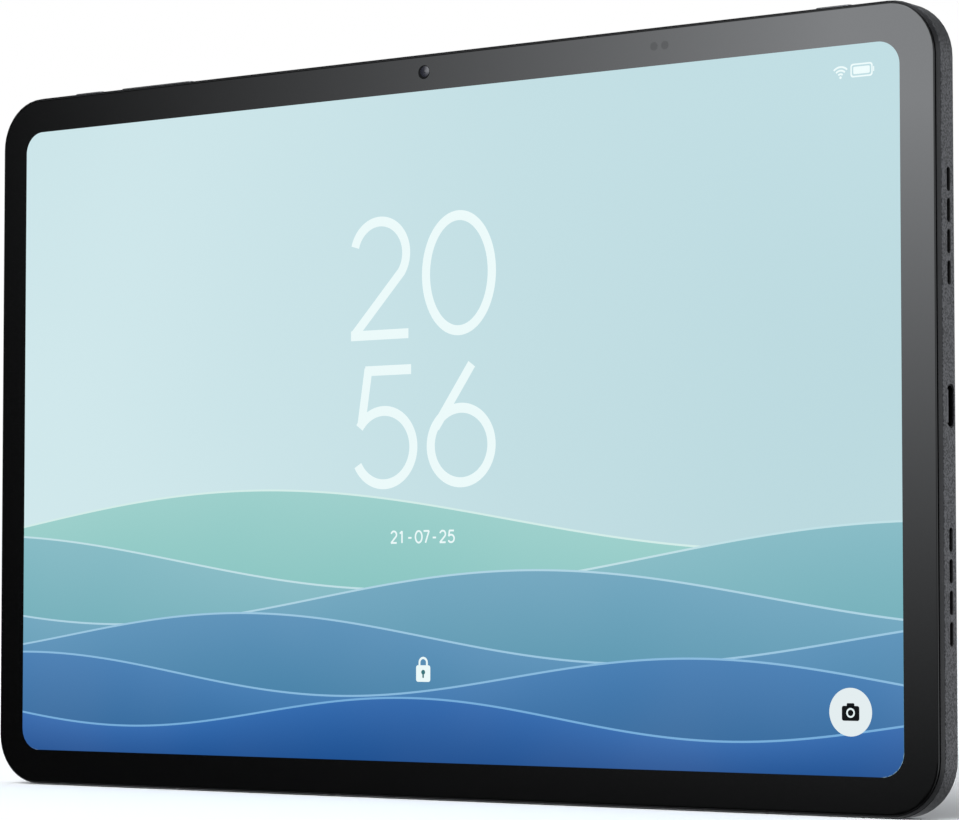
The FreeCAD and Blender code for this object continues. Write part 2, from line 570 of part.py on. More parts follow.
def rear_camera():
    """Raised deck on the back with the camera's ring, window and lens, and the flash."""
    x = REAR_LENS_X
    lens_z = REAR_LENS_Z
    flash_z = REAR_LENS_Z - FLASH_DROP
    half = DECK_WIDTH / 2
    deck_back = FAR_BACK - DECK_STEP
    deck = panel((x - half, x + half, flash_z - half, lens_z + half), BODY_DEPTH, deck_back, half)
    deck = deck.makeFillet(0.5, edges_at_depth(deck, deck_back))
    lens_hole = disc(x, lens_z, RING_RADIUS + 0.05, BODY_DEPTH - 1, FAR_BACK)
    flash_hole = disc(x, flash_z, FLASH_RADIUS + 0.08, BODY_DEPTH - 1, FAR_BACK)
    save("camera_deck", deck.cut([lens_hole, flash_hole]))

    seat_depth = FAR_BACK - 0.5
    ring = disc(x, lens_z, RING_RADIUS, BODY_DEPTH, FAR_BACK)
    ring = ring.makeFillet(0.25, edges_at_depth(ring, FAR_BACK))
    ring = ring.cut([disc(x, lens_z, RING_SEAT, seat_depth, FAR_BACK + 1),
                     disc(x, lens_z, RING_BORE, BODY_DEPTH - 1, FAR_BACK)])
    save("camera_ring", ring)
    save("camera_window", disc(x, lens_z, RING_SEAT - 0.05, seat_depth, FAR_BACK - 0.12))

    lens_front = FAR_BACK - 1.2
    housing = panel(around(x, lens_z, 4.5, 4.5), PLATE_BACK + 0.1, FLOOR_DEPTH - 0.05, 0.6)
    barrel = disc(x, lens_z, REAR_BARREL, FLOOR_DEPTH - 0.2, seat_depth - 0.2)
    pocket = disc(x, lens_z, 1.9, lens_front, FAR_BACK)
    save("rear_camera", housing.fuse(barrel).cut(pocket).removeSplitter())
    save("rear_camera_lens", disc(x, lens_z, 1.85, lens_front, lens_front + 0.4))
    save("flash_lamp", panel(around(x, flash_z, 1.6, 1.6), FLOOR_DEPTH - 0.9, FLOOR_DEPTH - 0.02, 0.3))
    save("flash_lens", disc(x, flash_z, FLASH_RADIUS, FLOOR_DEPTH + 0.02, deck_back - 0.05))


def flexes_and_antennas():
    """Flexes that join the boards, the display's connector and the two antennas."""
    x0, x1 = DISPLAY_FLEX_X
    front = TRAY_DEPTH + TRAY_THICKNESS + 0.03
    back = PLATE_BACK + 0.3
    below = panel((x0, x1, DISPLAY_FLEX_BOTTOM, PLATE_SLOT_Z), front, front + FLEX)
    through = panel((x0, x1, PLATE_SLOT_Z - FLEX, PLATE_SLOT_Z), front, back)
    above = panel((x0, x1, PLATE_SLOT_Z - FLEX, DISPLAY_FLEX_TOP), back - FLEX, back)
    save("display_flex", below.fuse([through, above]).removeSplitter())
    connector = (x0 + 1, x1 - 1, DISPLAY_FLEX_TOP - 3, DISPLAY_FLEX_TOP)
    save("display_connector", panel(connector, back, BOARD_DEPTH))

    for name, places in (("socket_flex", SOCKET_FLEX), ("speaker_flex", SPEAKER_FLEX)):
        strips = [panel(place, BOARD_DEPTH - FLEX, BOARD_DEPTH) for place in places]
        save(name, strips[0].fuse(strips[1:]).removeSplitter())
    for name, place in ANTENNAS.items():
        save(name, panel(place, PLATE_BACK + 0.2, PLATE_BACK + 1.0, 1.0))


def screw(x, z, seat_depth, length):
    """Flat-headed screw with its head on a face at `seat_depth`."""
    head_front = seat_depth - SCREW_HEAD_HEIGHT
    head = disc(x, z, SCREW_HEAD_RADIUS, head_front, seat_depth)
    shank = disc(x, z, SCREW_RADIUS, seat_depth - 0.05, seat_depth + length)
    socket = disc(x, z, 0.5, head_front - 0.1, head_front + 0.2)
    return head.fuse(shank).cut(socket).removeSplitter()


def screws():
    board_length = FLOOR_DEPTH + 0.2 - BOARD_DEPTH
    save("board_screws", *[screw(x, z, BOARD_DEPTH, board_length) for x, z in BOARD_SCREWS + SOCKET_SCREWS])
    bracket_face = FLOOR_DEPTH - BRACKET_THICKNESS
    save("bracket_screws", *[screw(x, z, bracket_face, 0.55) for x, z in bracket_screws()])


rear_cover()
mid_frame()
glass_and_display()
chassis_plate()
keys()
charging_socket()
main_board()
battery()
speakers()
front_modules()
rear_camera()
flexes_and_antennas()
screws()
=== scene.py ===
import json
import math

import bmesh
import bpy
from mathutils import Matrix, Vector


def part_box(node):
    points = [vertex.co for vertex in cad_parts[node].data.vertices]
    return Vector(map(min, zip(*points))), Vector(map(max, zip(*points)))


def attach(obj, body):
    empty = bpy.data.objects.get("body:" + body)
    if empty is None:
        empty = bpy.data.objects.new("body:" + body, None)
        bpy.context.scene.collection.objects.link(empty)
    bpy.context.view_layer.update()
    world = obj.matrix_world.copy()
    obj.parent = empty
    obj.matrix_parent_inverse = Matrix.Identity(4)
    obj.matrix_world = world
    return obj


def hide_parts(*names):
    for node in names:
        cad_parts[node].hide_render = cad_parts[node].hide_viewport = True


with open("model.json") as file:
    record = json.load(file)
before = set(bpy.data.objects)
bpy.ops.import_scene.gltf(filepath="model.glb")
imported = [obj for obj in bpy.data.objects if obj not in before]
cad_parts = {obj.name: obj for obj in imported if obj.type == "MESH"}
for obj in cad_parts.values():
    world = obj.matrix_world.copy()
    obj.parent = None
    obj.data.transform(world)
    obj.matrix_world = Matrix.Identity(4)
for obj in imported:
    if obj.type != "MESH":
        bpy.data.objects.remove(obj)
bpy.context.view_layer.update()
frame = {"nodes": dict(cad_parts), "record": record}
scene = bpy.context.scene
mm = 0.001


# small helpers

def tint(red, green, blue):  # 0-255 values as a linear colour
    def linear(value):
        share = value / 255
        return share / 12.92 if share <= 0.04045 else ((share + 0.055) / 1.055) ** 2.4
    return (linear(red), linear(green), linear(blue), 1.0)


def addNode(tree, kind, inputs=None, **settings):
    node = tree.nodes.new(kind)
    for key, value in settings.items():
        setattr(node, key, value)
    for key, value in (inputs or {}).items():
        socket = node.inputs[key]
        if isinstance(value, bpy.types.NodeSocket):
            tree.links.new(value, socket)
        else:
            socket.default_value = value
    return node


def mathNode(tree, operation, first, second=0.0, third=0.0, clamp=False):
    node = addNode(tree, "ShaderNodeMath", {0: first, 1: second, 2: third}, operation=operation)
    node.use_clamp = clamp
    return node.outputs[0]


def mapRange(tree, value, low, high, toLow=0.0, toHigh=1.0, smooth=True):
    node = addNode(tree, "ShaderNodeMapRange", {0: value, 1: low, 2: high, 3: toLow, 4: toHigh})
    node.interpolation_type = "SMOOTHSTEP" if smooth else "LINEAR"
    return node.outputs[0]


def mixColour(tree, share, first, second, blend="MIX"):
    node = addNode(tree, "ShaderNodeMix", data_type="RGBA", blend_type=blend)
    for key, value in ((0, share), (6, first), (7, second)):
        if isinstance(value, bpy.types.NodeSocket):
            tree.links.new(value, node.inputs[key])
        else:
            node.inputs[key].default_value = value
    return node.outputs[2]


def newMaterial(name):
    material = bpy.data.materials.new(name)
    material.use_nodes = True
    tree = material.node_tree
    tree.nodes.clear()
    output = addNode(tree, "ShaderNodeOutputMaterial")
    shader = addNode(tree, "ShaderNodeBsdfPrincipled")
    tree.links.new(shader.outputs[0], output.inputs[0])
    return material, tree, shader


def objectPoint(tree):
    return addNode(tree, "ShaderNodeTexCoord").outputs["Object"]


def grainHeight(tree, point, size, detail=2.0):
    noise = addNode(tree, "ShaderNodeTexNoise", {"Vector": point, "Scale": 1 / size, "Detail": detail})
    return noise.outputs["Fac"]


mottle = {"size": 14 * mm, "share": 0.07}   # slow variation under the fine grain


# grain and depth are in millimetres; spread is how much the colour varies.
def finish(name, colour, roughness, metallic=0.0, grain=0.3, depth=0.01, spread=0.1, roughSpread=0.05,
           specular=0.5):
    material, tree, shader = newMaterial(name)
    point = objectPoint(tree)
    fine = grainHeight(tree, point, grain * mm)
    broad = grainHeight(tree, point, mottle["size"], 4.0)
    slow = mathNode(tree, "MULTIPLY", broad, mottle["share"])
    both = mathNode(tree, "MULTIPLY_ADD", fine, 1 - mottle["share"], slow)
    dark = tuple(c * (1 - spread) for c in colour[:3]) + (1.0,)
    light = tuple(min(1.0, c * (1 + spread)) for c in colour[:3]) + (1.0,)
    shader.inputs["Metallic"].default_value = metallic
    shader.inputs["Specular IOR Level"].default_value = specular
    mixed = mixColour(tree, mapRange(tree, both, 0.35, 0.65), dark, light)
    tree.links.new(mixed, shader.inputs["Base Color"])
    tree.links.new(mapRange(tree, broad, 0.3, 0.7, roughness - roughSpread, roughness + roughSpread),
                   shader.inputs["Roughness"])
    if depth > 0:
        bump = addNode(tree, "ShaderNodeBump", {"Height": fine, "Distance": depth * mm, "Strength": 1.0})
        tree.links.new(bump.outputs[0], shader.inputs["Normal"])
    return material


def linkPiece(name, mesh):
    piece = bpy.data.objects.new(name, mesh)
    scene.collection.objects.link(piece)
    return piece


# Keeps big flat faces flat next to small rounded edges.
def evenNormals(piece):
    modifier = piece.modifiers.new("even normals", "WEIGHTED_NORMAL")
    modifier.keep_sharp = True
    modifier.weight = 100
    bpy.context.view_layer.update()
    mesh = bpy.data.meshes.new_from_object(piece.evaluated_get(bpy.context.evaluated_depsgraph_get()))
    mesh.name = piece.name
    piece.modifiers.clear()
    piece.data = mesh
    return piece


# A merged, smooth-shaded copy of a CAD node's mesh; reshape moves its points first.
def copyOf(node, name, material, angle=32, reshape=None):
    source = frame["nodes"][node].data
    mesh = bpy.data.meshes.new(name)
    mesh.from_pydata([v.co[:] for v in source.vertices], [], [p.vertices[:] for p in source.polygons])
    shape = bmesh.new()
    shape.from_mesh(mesh)
    bmesh.ops.remove_doubles(shape, verts=shape.verts, dist=0.0005 * mm)
    for vertex in shape.verts if reshape else ():
        vertex.co = reshape(vertex.co)
    shape.to_mesh(mesh)
    shape.free()
    mesh.shade_smooth()
    mesh.set_sharp_from_angle(angle=math.radians(angle))
    mesh.materials.append(material)
    return evenNormals(linkPiece(name, mesh))


def fit(piece, slotName, *nodes, body="tablet"):
    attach(piece, body)
    if nodes:
        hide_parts(*nodes)
    return piece


# Points of a rounded rectangle round the origin, anticlockwise.
def roundedLoop(width, height, radius, steps=16):
    points = []
    corners = ((1, 1, 0), (-1, 1, 90), (-1, -1, 180), (1, -1, 270))
    for signX, signY, start in corners:
        for step in range(steps + 1):
            angle = math.radians(start + 90 * step / steps)
            points.append((signX * (width / 2 - radius) + radius * math.cos(angle),
                           signY * (height / 2 - radius) + radius * math.sin(angle)))
    return points


def circleLoop(x, y, radius, steps=48):
    return [(x + radius * math.cos(2 * math.pi * i / steps), y + radius * math.sin(2 * math.pi * i / steps))
            for i in range(steps)]


def shifted(loop, x, y):
    return [(px + x, py + y) for px, py in loop]


def turnToFront(shape):
    for face in shape.faces:
        face.normal_update()
        if face.normal.y > 0:
            face.normal_flip()


# A flat sheet that faces the front; loops inside loops are holes. Points are (x, z) in metres.
def flatMesh(name, loops, depth):
    curve = bpy.data.curves.new(name, "CURVE")
    curve.dimensions = "2D"
    curve.fill_mode = "BOTH"
    for loop in loops:
        spline = curve.splines.new("POLY")
        spline.points.add(len(loop) - 1)
        for point, (x, z) in zip(spline.points, loop):
            point.co = (x, z, 0, 1)
        spline.use_cyclic_u = True
    holder = linkPiece(name + "Curve", curve)
    bpy.context.view_layer.update()
    made = bpy.data.meshes.new_from_object(holder.evaluated_get(bpy.context.evaluated_depsgraph_get()))
    bpy.data.objects.remove(holder)
    made.name = name
    made.transform(Matrix(((1, 0, 0, 0), (0, 0, 0, depth), (0, 1, 0, 0), (0, 0, 0, 1))))
    shape = bmesh.new()
    shape.from_mesh(made)
    turnToFront(shape)
    shape.to_mesh(made)
    shape.free()
    return made


def joined(name, meshes, material):
    shape = bmesh.new()
    for mesh in meshes:
        shape.from_mesh(mesh)
    made = bpy.data.meshes.new(name)
    shape.to_mesh(made)
    shape.free()
    made.materials.clear()
    made.materials.append(material)
    return linkPiece(name, made)


# A Geometry Nodes tree with named inputs; returns the tree, its input node and its output node.
def nodeTree(name, sockets):
    tree = bpy.data.node_groups.new(name, "GeometryNodeTree")
    tree.interface.new_socket("Geometry", in_out="INPUT", socket_type="NodeSocketGeometry")
    for label, kind in sockets:
        tree.interface.new_socket(label, in_out="INPUT", socket_type=kind)
    tree.interface.new_socket("Geometry", in_out="OUTPUT", socket_type="NodeSocketGeometry")
    return tree, tree.nodes.new("NodeGroupInput"), tree.nodes.new("NodeGroupOutput")


# Runs the tree on the holder and keeps only the plain mesh that comes out.
def meshFromTree(name, holder, tree, values):
    modifier = holder.modifiers.new(name, "NODES")
    modifier.node_group = tree
    for item in tree.interface.items_tree:
        if item.item_type == "SOCKET" and item.in_out == "INPUT" and item.name in values:
            modifier[item.identifier] = values[item.name]
    holder.update_tag()
    bpy.context.view_layer.update()
    evaluated = holder.evaluated_get(bpy.context.evaluated_depsgraph_get())
    mesh = bpy.data.meshes.new_from_object(evaluated)
    mesh.name = name
    bpy.data.objects.remove(holder)
    return linkPiece(name, mesh)


# places taken from the frame

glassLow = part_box("front_glass")[0]
coverLow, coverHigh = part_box("rear_cover")
cellLow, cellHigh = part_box("display_cell")
screen = {
    "panelBorder": 1.2 * mm,     # dark edge of the panel outside the picture
    "offset": Vector((0.3 * mm, 0, -0.1 * mm)),
    "trim": 0.2 * mm,
    "cornerRadius": 5.0 * mm,
    "depth": 0.115 * mm,         # below the face of the glass
    "brightness": 0.97,
}
screenCentre = (cellLow + cellHigh) / 2 + screen["offset"]
pictureHeight = (cellHigh.z - cellLow.z) - 2 * screen["panelBorder"] - screen["trim"]
pictureWidth = (cellHigh.x - cellLow.x) - 2 * screen["panelBorder"] - screen["trim"]
pictureLeft = screenCentre.x - pictureWidth / 2
pictureBottom = screenCentre.z - pictureHeight / 2


# Picture units (the picture is 1 high, 1.6 wide) to metres.
def onScreen(x, y):
    return (pictureLeft + x * pictureHeight, pictureBottom + y * pictureHeight)


# metal and polymer finishes

print("finishes")
blastedMetal = finish("blasted dark aluminium", tint(80, 80, 82), 0.4, 1.0, grain=0.42, depth=0.11,
                      spread=0.55, roughSpread=0.04)
keyMetal = finish("satin key aluminium", tint(96, 96, 98), 0.34, 1.0, grain=0.3, depth=0.012, spread=0.08)
framePolymer = finish("smooth frame polymer", tint(28, 28, 29), 0.3, 0.0, grain=0.5, depth=0.004, spread=0.06,
                      specular=0.17)
ringMetal = finish("turned ring aluminium", tint(120, 120, 124), 0.2, 1.0, grain=0.2, depth=0.003,
                   spread=0.05)

# The walls and chamfers of the speaker slots get a near-black second material on the cover: painted shade
# inside the slots.
slotShade = {
    "reach": 62 * mm,            # up and down from the middle of the side
    "halfWidth": 0.95 * mm,
    "depth": 3 * mm,
    "wallTurn": 0.95,            # faces that look outwards more than this are the side itself
}
# painted shade: a near-black finish that darkens the slot walls
slotShadeFinish = finish("painted slot shade", tint(9, 9, 10), 0.6, 0.0, grain=0.3, depth=0.01, spread=0.1)
rearCover = copyOf("rear_cover", "rearCover", blastedMetal)
meshLow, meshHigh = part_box("speaker_meshes")
slotY = (meshLow.y + meshHigh.y) / 2
middleZ = (coverLow.z + coverHigh.z) / 2
rearCover.data.materials.append(slotShadeFinish)
# faces inside the slot band take the painted shade
for face in rearCover.data.polygons:
    isWall = abs(face.normal.x) < slotShade["wallTurn"]
    inWidth = abs(face.center.y - slotY) < slotShade["halfWidth"]
    inDepth = abs(face.center.x) > coverHigh.x - slotShade["depth"]
    inReach = abs(face.center.z - middleZ) < slotShade["reach"]
    if isWall and inWidth and inDepth and inReach:
        face.material_index = 1
fit(rearCover, "anodised_aluminium", "rear_cover")
fit(copyOf("mid_frame", "midFrame", framePolymer), "frame_polymer", "mid_frame")
fit(copyOf("camera_deck", "cameraDeck", blastedMetal), "anodised_aluminium", "camera_deck")
fit(copyOf("camera_ring", "cameraRing", ringMetal), "polished_ring", "camera_ring")
for keyNode, keyName in (("power_button", "powerButton"), ("volume_rocker", "volumeRocker"),
                         ("shortcut_key", "shortcutKey")):
    fit(copyOf(keyNode, keyName, keyMetal), "key_metal", keyNode, body=keyNode)

# cover glass with its black border

print("cover glass")
gloss = {
    "roughness": 0.03,
    "ior": 1.5,
    "litSpecular": 0.08,  # the lit picture mirrors less than the border
    "inlay": 0.12 * mm,   # the picture and its marks lie this deep in the glass
    "edge": 0.45 * mm,    # rounding of the outer edge
}


def glossy(shader):
    shader.inputs["Roughness"].default_value = gloss["roughness"]
    shader.inputs["IOR"].default_value = gloss["ior"]


def clearGlass(name, colour):
    material, _, shader = newMaterial(name)
    shader.inputs["Base Color"].default_value = colour
    shader.inputs["Roughness"].default_value = 0.0
    shader.inputs["IOR"].default_value = gloss["ior"]
    shader.inputs["Transmission Weight"].default_value = 1.0
    return material


# Polished glass over black ink.
def borderGlass(name, colour):
    material, tree, shader = newMaterial(name)
    cloud = grainHeight(tree, objectPoint(tree), 30 * mm, 2.0)
    lighter = tuple(c * 1.15 for c in colour[:3]) + (1.0,)
    tree.links.new(mixColour(tree, cloud, colour, lighter), shader.inputs["Base Color"])
    glossy(shader)
    return material


blackGlass = borderGlass("glass over black ink", tint(3, 3, 3))


# Presses the front back by the depth of the inlay, fading out over the rounded edge.
def pressedFront(place):
    share = max(0.0, 1 - (place.y - glassLow.y) / gloss["edge"])
    return Vector((place.x, place.y + gloss["inlay"] * share, place.z))


fit(copyOf("front_glass", "coverGlass", blackGlass, 25, pressedFront), "cover_glass", "front_glass")


# The picture and its marks lie between the pressed front and the glass's own face.
def inlaid(depth):
    return glassLow.y + depth


markDepths = (0.024 * mm, 0.015 * mm, 0.007 * mm)   # layers of marks, the last one nearest the front
strokeThickness = 0.016 * mm


# the picture on the display

print("display picture")


# Lit glass: the colour glows through the same gloss as the border.
def litFinish(name, strength):
    material, tree, shader = newMaterial(name)
    shader.inputs["Base Color"].default_value = (0.001, 0.001, 0.001, 1)
    shader.inputs["Emission Strength"].default_value = strength
    shader.inputs["Specular IOR Level"].default_value = gloss["litSpecular"]
    glossy(shader)
    return material, tree, shader


def skyFinish():
    material, tree, shader = litFinish("picture sky", screen["brightness"])
    separate = addNode(tree, "ShaderNodeSeparateXYZ", {0: objectPoint(tree)})
    cloud = grainHeight(tree, objectPoint(tree), 130 * mm, 1.0)
    across = mapRange(tree, separate.outputs[0], pictureLeft, pictureLeft + pictureWidth)
    sky = mixColour(tree, across, tint(211, 235, 239), tint(187, 218, 224))
    sky = mixColour(tree, mapRange(tree, cloud, 0.35, 0.7, 0.0, 0.35), sky, tint(198, 226, 231))
    tree.links.new(sky, shader.inputs["Emission Color"])
    return material


def bandFinish():
    material, tree, shader = litFinish("picture bands", screen["brightness"])
    tone = addNode(tree, "ShaderNodeAttribute", attribute_name="tone").outputs["Color"]
    cloud = grainHeight(tree, objectPoint(tree), 40 * mm, 1.0)
    veil = mixColour(tree, mapRange(tree, cloud, 0.3, 0.8, 0.0, 0.02), tone, (0.9, 0.95, 1.0, 1.0))
    tree.links.new(veil, shader.inputs["Emission Color"])
    return material


pictureLoop = shifted(roundedLoop(pictureWidth, pictureHeight, screen["cornerRadius"], 24),
                      screenCentre.x, screenCentre.z)
pictureMesh = flatMesh("displayPicture", [pictureLoop], inlaid(screen["depth"]))
fit(joined("displayPicture", [pictureMesh], skyFinish()), "display_cell")

# Plain rolling bands along the foot of the picture, in picture units and 0-255 colours.
# Each pair is the value of the rearmost band and of the front one.
bands = {
    "count": 6,
    "level": (0.36, 0.07), "swell": (0.050, 0.026), "length": (1.9, 1.1),
    "turn": 0.31,          # share of a wave that each band is shifted from the last
    "columns": 120, "rows": 12, "foot": -0.02, "rim": 0.003,
    "rimColour": ((214, 240, 236), (120, 176, 222)),
    "topColour": ((158, 210, 206), (52, 108, 176)),
    "footColour": ((104, 180, 178), (26, 76, 140)),
    "back": 0.110 * mm, "gap": 0.012 * mm,
}


def between(first, second, share):
    if isinstance(first, tuple):
        return tuple(between(a, b, share) for a, b in zip(first, second))
    return first + (second - first) * share


# Adds one band as a flat patch: a narrow strip for the rim, then the body down to the foot.
def addBand(shape, layer, index):
    share = index / (bands["count"] - 1)
    level, swell, length = (between(*bands[key], share) for key in ("level", "swell", "length"))
    rim, top, foot = (between(*bands[key], share) for key in ("rimColour", "topColour", "footColour"))
    depth = inlaid(bands["back"] - index * bands["gap"])
    width = pictureWidth / pictureHeight
    lines = []
    for column in range(bands["columns"] + 1):
        x = width * column / bands["columns"]
        crest = level + swell * math.sin(2 * math.pi * (x / length + bands["turn"] * index))
        under = crest - bands["rim"]
        places = [(crest, rim), (under, rim)]
        for row in range(bands["rows"] + 1):
            down = row / bands["rows"]
            places.append((between(under, bands["foot"], down), between(top, foot, down)))
        line = []
        for y, colour in places:
            placeX, placeZ = onScreen(x, y)
            vertex = shape.verts.new((placeX, depth, placeZ))
            vertex[layer] = tint(*colour)
            line.append(vertex)
        lines.append(line)
    for first, second in zip(lines, lines[1:]):
        for j in [0, *range(2, bands["rows"] + 2)]:
            shape.faces.new((first[j], first[j + 1], second[j + 1], second[j]))


# Cuts everything off outside the convex loop.
def trimTo(shape, loop):
    for start, end in zip(loop, loop[1:] + loop[:1]):
        if math.dist(start, end) > 1e-7:
            outward = (end[1] - start[1], 0, start[0] - end[0])
            bmesh.ops.bisect_plane(shape, geom=[*shape.verts, *shape.edges, *shape.faces], dist=1e-8,
                                   plane_co=(start[0], 0, start[1]), plane_no=outward, clear_outer=True)


shape = bmesh.new()
toneLayer = shape.verts.layers.float_color.new("tone")
for index in range(bands["count"]):
    addBand(shape, toneLayer, index)
turnToFront(shape)
trimTo(shape, shifted(roundedLoop(pictureWidth, pictureHeight, screen["cornerRadius"], 6),
                      screenCentre.x, screenCentre.z))
bandMesh = bpy.data.meshes.new("pictureBands")
shape.to_mesh(bandMesh)
shape.free()
bandMesh.materials.append(bandFinish())
fit(linkPiece("pictureBands", bandMesh), "display_cell")

# clock, date and status marks

print("screen marks")


def glow(name, colour, strength):
    material, tree, shader = litFinish(name, strength)
    cloud = grainHeight(tree, objectPoint(tree), 40 * mm, 1.0)
    soft = tuple(c * 0.985 for c in colour[:3]) + (1.0,)
    tree.links.new(mixColour(tree, cloud, colour, soft), shader.inputs["Emission Color"])
    return material


markWhite = glow("lit mark", tint(236, 250, 250), 1.0)
markShade = glow("shaded mark", tint(58, 116, 122), 1.0)
markPale = glow("lit button", tint(228, 238, 240), 1.0)
markDark = glow("unlit mark", tint(10, 14, 16), 1.0)

# strokes of each figure; a figure is 1 high. line: x, y, x, y. arc: centre, radii, from and to in degrees
figures = {
    "0": (("arc", 0.35, 0.5, 0.35, 0.5, 0, 360),),
    "1": (("line", 0.06, 0.8, 0.3, 1.0), ("line", 0.3, 1.02, 0.3, -0.02)),
    "2": (("arc", 0.29, 0.71, 0.285, 0.29, 165, -36), ("line", 0.525, 0.545, 0.0, 0.0),
          ("line", -0.03, 0.0, 0.6, 0.0)),
    "5": (("line", 0.1, 1.0, 0.6, 1.0), ("line", 0.135, 1.02, 0.055, 0.51),
          ("arc", 0.304, 0.322, 0.322, 0.322, 146, -152)),
    "6": (("arc", 0.316, 0.322, 0.322, 0.322, 0, 360), ("line", 0.43, 1.02, 0.045, 0.48)),
    "7": (("line", 0.0, 1.0, 0.6, 1.0), ("line", 0.58, 1.0, 0.2, -0.02)),
    "-": (("line", 0.1, 0.42, 0.45, 0.42),),
}
clock = {
    "height": 0.171, "stroke": 0.0148,
    "rows": (("2", 0.671, 0.638), ("0", 0.806, 0.638), ("5", 0.676, 0.413), ("6", 0.816, 0.413)),
}
date = {"text": "21-07-25", "height": 0.0172, "stroke": 0.0027, "step": 0.0150, "left": 0.742,
        "baseline": 0.3250}
wireless = {"centre": (1.510, 0.9555), "radii": (0.0048, 0.0097, 0.0146), "stroke": 0.0026, "dot": 0.0019}
battery = {
    "left": 1.5255, "right": 1.5600, "bottom": 0.9540, "top": 0.9730, "stroke": 0.0022,
    "corners": (0.004, 0.003, 0.002),      # outside of the rim, inside of it, and the fill
    "tip": (0.0006, 0.0024, 0.006, 0.0008),  # its start, end, inset from top and bottom, and corner
}
padlock = {
    "centre": (0.8015, 0.131), "width": 0.026, "height": 0.0245, "corner": 0.0035, "stroke": 0.0034,
    "loopRadius": 0.0068, "loopFoot": 0.002, "loopRise": 0.004,
    "keyhole": (0.002, 0.0036),            # height above the centre, and radius
    "keySlot": (0.0014, -0.0065, 0.001, 0.001),  # half width, bottom, top and corner
}
# The body and the hump are half width, bottom, top and corner; the lens is height and two radii.
cameraMark = {
    "centre": (1.52, 0.087), "radius": 0.033,
    "body": (0.0135, -0.0118, 0.0085, 0.003),
    "hump": (0.0060, 0.0060, 0.0122, 0.0018),
    "lens": (-0.001, 0.0066, 0.0043),
}


def strokePoints(stroke, x, y, size):
    kind, *values = stroke
    if kind == "line":
        ends = ((values[0], values[1]), (values[2], values[3]))
        return [(x + px * size, y + py * size) for px, py in ends]
    centreX, centreY, radiusX, radiusY, start, end = values
    steps = max(12, int(abs(end - start) / 5))
    angles = [math.radians(start + (end - start) * i / steps) for i in range(steps + 1)]
    return [(x + (centreX + radiusX * math.cos(a)) * size, y + (centreY + radiusY * math.sin(a)) * size)
            for a in angles]


# Sweeps each stroke with a round section and presses it flat against the glass.
def strokeTree():
    sockets = (("Width", "NodeSocketFloat"), ("Flatness", "NodeSocketFloat"), ("Depth", "NodeSocketFloat"),
               ("Finish", "NodeSocketMaterial"))
    tree, source, result = nodeTree("flat strokes", sockets)
    half = addNode(tree, "ShaderNodeMath", {0: source.outputs["Width"], 1: 0.5}, operation="MULTIPLY")
    section = addNode(tree, "GeometryNodeCurvePrimitiveCircle", {"Resolution": 12, "Radius": half.outputs[0]})
    swept = addNode(tree, "GeometryNodeCurveToMesh", {"Curve": source.outputs["Geometry"],
                                                      "Profile Curve": section.outputs[0], "Fill Caps": True})
    scale = addNode(tree, "ShaderNodeCombineXYZ", {0: 1.0, 1: source.outputs["Flatness"], 2: 1.0})
    place = addNode(tree, "ShaderNodeCombineXYZ", {0: 0.0, 1: source.outputs["Depth"], 2: 0.0})
    pressed = addNode(tree, "GeometryNodeTransform", {"Geometry": swept.outputs[0], "Scale": scale.outputs[0],
                                                      "Translation": place.outputs[0]})
    realized = addNode(tree, "GeometryNodeRealizeInstances", {"Geometry": pressed.outputs[0]})
    painted = addNode(tree, "GeometryNodeSetMaterial", {"Geometry": realized.outputs[0],
                                                        "Material": source.outputs["Finish"]})
    tree.links.new(painted.outputs[0], result.inputs[0])
    return tree


flatStrokes = strokeTree()


# paths are in picture units; one plain mesh comes back.
def strokePiece(name, paths, width, material):
    curve = bpy.data.curves.new(name, "CURVE")
    curve.dimensions = "3D"
    for path in paths:
        closed = math.dist(path[0], path[-1]) < 1e-6
        points = path[:-1] if closed else path
        spline = curve.splines.new("POLY")
        spline.points.add(len(points) - 1)
        for point, place in zip(spline.points, points):
            x, z = onScreen(*place)
            point.co = (x, 0, z, 1)
        spline.use_cyclic_u = closed
    realWidth = width * pictureHeight
    values = {"Width": realWidth, "Flatness": strokeThickness / realWidth, "Depth": inlaid(markDepths[0]),
              "Finish": material}
    return fit(meshFromTree(name, linkPiece(name + "Curve", curve), flatStrokes, values), "display_cell")


def figurePaths(text, left, baseline, size, step):
    paths = []
    for place, character in enumerate(text):
        paths += [strokePoints(stroke, left + place * step, baseline, size) for stroke in figures[character]]
    return paths


clockPaths = []
for figure, left, baseline in clock["rows"]:
    clockPaths += figurePaths(figure, left, baseline, clock["height"], 0)
strokePiece("clockFigures", clockPaths, clock["stroke"], markWhite)
datePaths = figurePaths(date["text"], date["left"], date["baseline"], date["height"], date["step"])
strokePiece("dateFigures", datePaths, date["stroke"], markWhite)
waveX, waveY = wireless["centre"]
wavePaths = [strokePoints(("arc", 0, 0, r, r, 135, 45), waveX, waveY, 1) for r in wireless["radii"]]
strokePiece("wirelessWaves", wavePaths, wireless["stroke"], markWhite)
lockX, lockY = padlock["centre"]
lockTop = lockY + padlock["height"] / 2
radius = padlock["loopRadius"]
lockArc = strokePoints(("arc", 0, 0, radius, radius, 180, 0), lockX, lockTop + padlock["loopRise"], 1)
lockFoot = lockTop - padlock["loopFoot"]
lockPath = [(lockX - radius, lockFoot), *lockArc, (lockX + radius, lockFoot)]
strokePiece("padlockLoop", [lockPath], padlock["stroke"], markWhite)


def markMesh(name, loops, layer):
    return flatMesh(name, [[onScreen(x, y) for x, y in loop] for loop in loops], inlaid(markDepths[layer]))


def roundedMark(left, right, bottom, top, radius):
    return shifted(roundedLoop(right - left, top - bottom, radius, 6), (left + right) / 2, (bottom + top) / 2)


